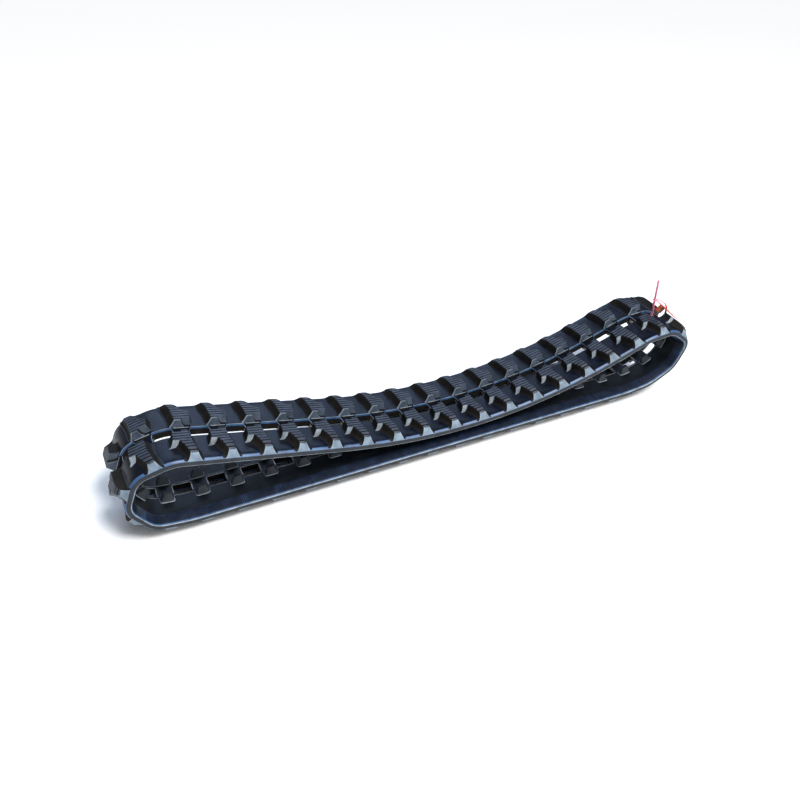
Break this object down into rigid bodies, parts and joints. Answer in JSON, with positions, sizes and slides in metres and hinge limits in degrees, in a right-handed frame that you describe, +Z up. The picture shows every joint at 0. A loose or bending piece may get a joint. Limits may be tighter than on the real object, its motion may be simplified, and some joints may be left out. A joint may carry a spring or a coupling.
{
  "type": "rubber track",
  "caption": "Endless moulded rubber crawler track with embedded steel cores and cords, lying collapsed with its top run sagging on to the floor run.",
  "frame": {"origin": "on the floor under the middle of the track's bounding box, at the tips of the floor run's lugs", "axes": "+X along the track towards the end that carries the tag, +Y across the belt, +Z up"},
  "size_m": [1.3954, 0.18, 0.2805],
  "materials": {
    "cord_steel": "brass-coated steel cord",
    "core_steel": "forged and heat treated, bare at the windows",
    "tag_card": "plastic tag",
    "tie_nylon": "moulded nylon",
    "track_rubber": "moulded, satin with a bluish sheen"
  },
  "bodies": {
    "floor_run": {"floor_run_rubber": "track_rubber", "floor_run_cores": "core_steel", "floor_run_cords": "cord_steel"},
    "link_00": {"link_00_rubber": "track_rubber", "link_00_steel": "core_steel"},
    "link_01": {"link_01_rubber": "track_rubber", "link_01_steel": "core_steel"},
    "link_02": {"link_02_rubber": "track_rubber", "link_02_steel": "core_steel"},
    "link_03": {"link_03_rubber": "track_rubber", "link_03_steel": "core_steel"},
    "link_04": {"link_04_rubber": "track_rubber", "link_04_steel": "core_steel"},
    "link_05": {"link_05_rubber": "track_rubber", "link_05_steel": "core_steel"},
    "link_06": {"link_06_rubber": "track_rubber", "link_06_steel": "core_steel"},
    "link_07": {"link_07_rubber": "track_rubber", "link_07_steel": "core_steel"},
    "link_08": {"link_08_rubber": "track_rubber", "link_08_steel": "core_steel"},
    "link_09": {"link_09_rubber": "track_rubber", "link_09_steel": "core_steel"},
    "link_10": {"link_10_rubber": "track_rubber", "link_10_steel": "core_steel"},
    "link_11": {"link_11_rubber": "track_rubber", "link_11_steel": "core_steel"},
    "link_12": {"link_12_rubber": "track_rubber", "link_12_steel": "core_steel"},
    "link_13": {"link_13_rubber": "track_rubber", "link_13_steel": "core_steel"},
    "link_14": {"link_14_rubber": "track_rubber", "link_14_steel": "core_steel"},
    "link_15": {"link_15_rubber": "track_rubber", "link_15_steel": "core_steel"},
    "link_16": {"link_16_rubber": "track_rubber", "link_16_steel": "core_steel"},
    "link_17": {"link_17_rubber": "track_rubber", "link_17_steel": "core_steel"},
    "link_18": {"link_18_rubber": "track_rubber", "link_18_steel": "core_steel"},
    "link_19": {"link_19_rubber": "track_rubber", "link_19_steel": "core_steel"},
    "link_20": {"link_20_rubber": "track_rubber", "link_20_steel": "core_steel"},
    "link_21": {"link_21_rubber": "track_rubber", "link_21_steel": "core_steel"},
    "link_22": {"link_22_rubber": "track_rubber", "link_22_steel": "core_steel", "cable_tie": "tie_nylon", "hang_tag": "tag_card"},
    "link_23": {"link_23_rubber": "track_rubber", "link_23_steel": "core_steel"},
    "link_24": {"link_24_rubber": "track_rubber", "link_24_steel": "core_steel"},
    "link_25": {"link_25_rubber": "track_rubber", "link_25_steel": "core_steel"}
  },
  "joints": [
    {"name": "hinge_00", "type": "hinge", "parent": "floor_run", "child": "link_00", "pos_m": [-0.49209, 0, 0.027], "axis": [0, 1, 0], "range_deg": [0, 25.66]},
    {"name": "hinge_01", "type": "hinge", "parent": "link_00", "child": "link_01", "pos_m": [-0.56409, 0, 0.027], "axis": [0, 1, 0], "range_deg": [0, 17.01]},
    {"name": "hinge_02", "type": "hinge", "parent": "link_01", "child": "link_02", "pos_m": [-0.63546, 0, 0.03653], "axis": [0, 1, 0], "range_deg": [-18.25, 0]},
    {"name": "hinge_03", "type": "hinge", "parent": "link_02", "child": "link_03", "pos_m": [-0.67561, 0, 0.0963], "axis": [0, 1, 0], "range_deg": [-20.56, 0]},
    {"name": "hinge_04", "type": "hinge", "parent": "link_03", "child": "link_04", "pos_m": [-0.64971, 0, 0.16348], "axis": [0, 1, 0], "range_deg": [-12.04, 0]},
    {"name": "hinge_05", "type": "hinge", "parent": "link_04", "child": "link_05", "pos_m": [-0.57983, 0, 0.18084], "axis": [0, 1, 0], "range_deg": [-2.98, 0]},
    {"name": "hinge_06", "type": "hinge", "parent": "link_05", "child": "link_06", "pos_m": [-0.50967, 0, 0.16464], "axis": [0, 1, 0], "range_deg": [0, 12.91]},
    {"name": "hinge_07", "type": "hinge", "parent": "link_06", "child": "link_07", "pos_m": [-0.43952, 0, 0.14844], "axis": [0, 1, 0], "range_deg": [0, 3]},
    {"name": "hinge_08", "type": "hinge", "parent": "link_07", "child": "link_08", "pos_m": [-0.36937, 0, 0.13225], "axis": [0, 1, 0], "range_deg": [-4.46, 0]},
    {"name": "hinge_09", "type": "hinge", "parent": "link_08", "child": "link_09", "pos_m": [-0.29921, 0, 0.11605], "axis": [0, 1, 0], "range_deg": [0, 2.99]},
    {"name": "hinge_10", "type": "hinge", "parent": "link_09", "child": "link_10", "pos_m": [-0.22906, 0, 0.09985], "axis": [0, 1, 0], "range_deg": [0, 2.99]},
    {"name": "hinge_11", "type": "hinge", "parent": "link_10", "child": "link_11", "pos_m": [-0.15844, 0, 0.08581], "axis": [0, 1, 0], "range_deg": [0, 2.99]},
    {"name": "hinge_12", "type": "hinge", "parent": "link_11", "child": "link_12", "pos_m": [-0.08711, 0, 0.07598], "axis": [0, 1, 0], "range_deg": [-4.94, 0]},
    {"name": "hinge_26", "type": "hinge", "parent": "floor_run", "child": "link_25", "pos_m": [0.51591, 0, 0.027], "axis": [0, -1, 0], "range_deg": [0, 20.23]},
    {"name": "hinge_25", "type": "hinge", "parent": "link_25", "child": "link_24", "pos_m": [0.58733, 0, 0.03609], "axis": [0, -1, 0], "range_deg": [-11.21, 0]},
    {"name": "hinge_24", "type": "hinge", "parent": "link_24", "child": "link_23", "pos_m": [0.65014, 0, 0.07128], "axis": [0, -1, 0], "range_deg": [-17.27, 0]},
    {"name": "hinge_23", "type": "hinge", "parent": "link_23", "child": "link_22", "pos_m": [0.67545, 0, 0.13869], "axis": [0, -1, 0], "range_deg": [-30, 0]},
    {"name": "hinge_22", "type": "hinge", "parent": "link_22", "child": "link_21", "pos_m": [0.61777, 0, 0.18178], "axis": [0, -1, 0], "range_deg": [0, 3]},
    {"name": "hinge_21", "type": "hinge", "parent": "link_21", "child": "link_20", "pos_m": [0.54603, 0, 0.17565], "axis": [0, -1, 0], "range_deg": [0, 21.8]},
    {"name": "hinge_20", "type": "hinge", "parent": "link_20", "child": "link_19", "pos_m": [0.47875, 0, 0.15001], "axis": [0, -1, 0], "range_deg": [0, 19.77]},
    {"name": "hinge_19", "type": "hinge", "parent": "link_19", "child": "link_18", "pos_m": [0.41082, 0, 0.12615], "axis": [0, -1, 0], "range_deg": [0, 3.01]},
    {"name": "hinge_18", "type": "hinge", "parent": "link_18", "child": "link_17", "pos_m": [0.3416, 0, 0.10636], "axis": [0, -1, 0], "range_deg": [0, 2.99]},
    {"name": "hinge_17", "type": "hinge", "parent": "link_17", "child": "link_16", "pos_m": [0.27132, 0, 0.09071], "axis": [0, -1, 0], "range_deg": [-3.74, 0]},
    {"name": "hinge_16", "type": "hinge", "parent": "link_16", "child": "link_15", "pos_m": [0.20023, 0, 0.07925], "axis": [0, -1, 0], "range_deg": [-4.94, 0]},
    {"name": "hinge_15", "type": "hinge", "parent": "link_15", "child": "link_14", "pos_m": [0.1286, 0, 0.07203], "axis": [0, -1, 0], "range_deg": [-4.54, 0]},
    {"name": "hinge_14", "type": "hinge", "parent": "link_14", "child": "link_13", "pos_m": [0.05666, 0, 0.06908], "axis": [0, -1, 0], "range_deg": [-3.45, 0]}
  ],
  "couplings": [
    {"joint": "hinge_01", "follows": "hinge_00", "ratio": 0.66179},
    {"joint": "hinge_02", "follows": "hinge_00", "ratio": -0.71022},
    {"joint": "hinge_03", "follows": "hinge_00", "ratio": -0.79987},
    {"joint": "hinge_04", "follows": "hinge_00", "ratio": -0.46856},
    {"joint": "hinge_05", "follows": "hinge_00", "ratio": -0.11596},
    {"joint": "hinge_06", "follows": "hinge_00", "ratio": 0.50216},
    {"joint": "hinge_07", "follows": "hinge_00", "ratio": 0.11656},
    {"joint": "hinge_08", "follows": "hinge_00", "ratio": -0.17352},
    {"joint": "hinge_09", "follows": "hinge_00", "ratio": 0.11621},
    {"joint": "hinge_10", "follows": "hinge_00", "ratio": 0.11645},
    {"joint": "hinge_11", "follows": "hinge_00", "ratio": 0.11627},
    {"joint": "hinge_12", "follows": "hinge_00", "ratio": -0.19207},
    {"joint": "hinge_26", "follows": "hinge_00", "ratio": 0.78712},
    {"joint": "hinge_25", "follows": "hinge_00", "ratio": -0.43602},
    {"joint": "hinge_24", "follows": "hinge_00", "ratio": -0.67219},
    {"joint": "hinge_23", "follows": "hinge_00", "ratio": -1.1673},
    {"joint": "hinge_22", "follows": "hinge_00", "ratio": 0.11684},
    {"joint": "hinge_21", "follows": "hinge_00", "ratio": 0.84812},
    {"joint": "hinge_20", "follows": "hinge_00", "ratio": 0.76938},
    {"joint": "hinge_19", "follows": "hinge_00", "ratio": 0.1169},
    {"joint": "hinge_18", "follows": "hinge_00", "ratio": 0.11636},
    {"joint": "hinge_17", "follows": "hinge_00", "ratio": -0.14539},
    {"joint": "hinge_16", "follows": "hinge_00", "ratio": -0.192},
    {"joint": "hinge_15", "follows": "hinge_00", "ratio": -0.17666},
    {"joint": "hinge_14", "follows": "hinge_00", "ratio": -0.13435}
  ]
}
